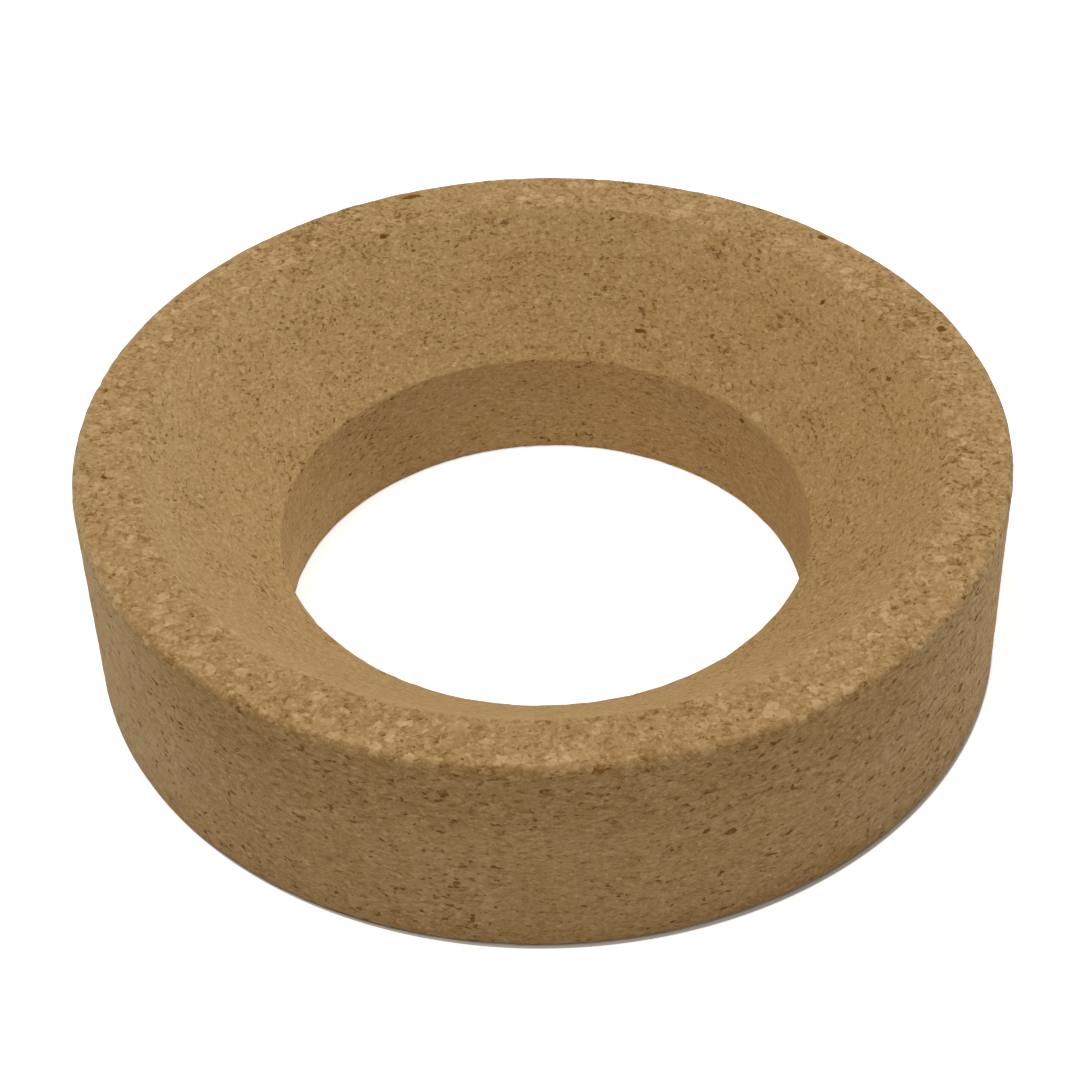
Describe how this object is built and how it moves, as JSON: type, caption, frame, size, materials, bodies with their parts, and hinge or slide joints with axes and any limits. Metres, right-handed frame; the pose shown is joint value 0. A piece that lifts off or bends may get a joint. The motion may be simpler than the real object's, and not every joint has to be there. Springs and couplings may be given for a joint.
{
  "type": "cork ring",
  "caption": "Thick turned ring of agglomerated cork with a conical seat and a straight bore, which holds a round-bottomed flask upright.",
  "frame": {"origin": "centre of the flat base", "axes": "+Z along the ring's axis, from the base up to the rim; the ring is the same all round, so +X and +Y are free"},
  "size_m": [0.14, 0.14, 0.035],
  "materials": {
    "cork": "matte"
  },
  "bodies": {
    "root": {"cork_ring": "cork"}
  },
  "joints": []
}
